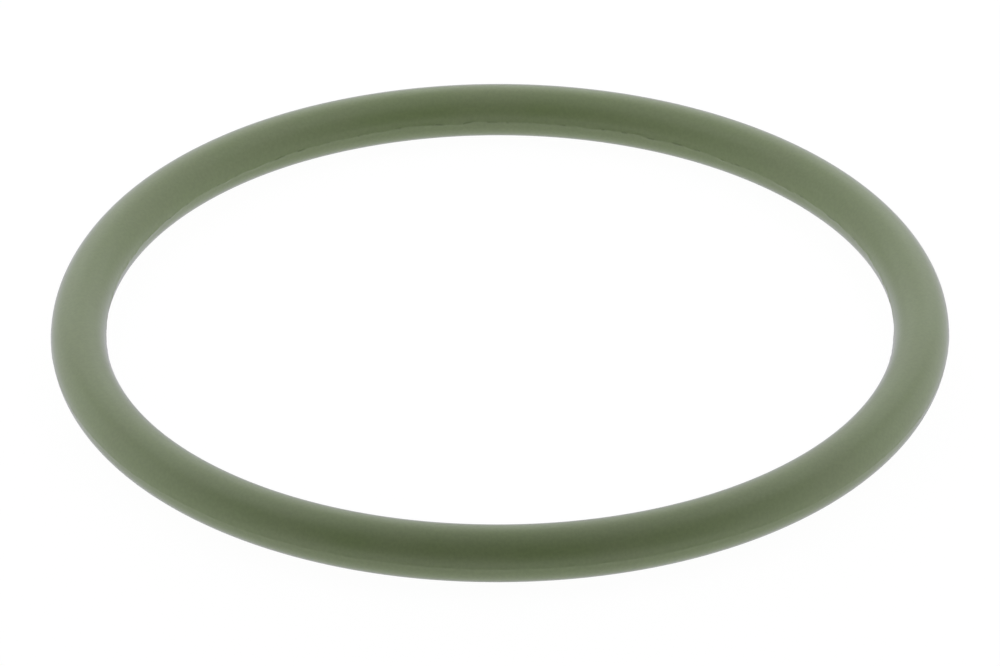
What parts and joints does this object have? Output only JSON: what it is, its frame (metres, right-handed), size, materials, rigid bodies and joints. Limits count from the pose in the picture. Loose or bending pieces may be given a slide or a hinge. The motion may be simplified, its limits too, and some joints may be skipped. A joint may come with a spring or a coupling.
{
  "type": "valve cover gasket",
  "caption": "Round-section moulded rubber sealing ring for a round valve cover, with a trimmed parting-line bead at mid height.",
  "frame": {"origin": "centre of the ring, on its axis, at mid height, where the mould halves meet", "axes": "+Z along the axis of the ring, up as it lies flat; X and Y in the mid plane, alike all round"},
  "size_m": [0.066, 0.066, 0.004],
  "materials": {
    "green_rubber": "satin"
  },
  "bodies": {
    "root": {"gasket_ring": "green_rubber"}
  },
  "joints": []
}
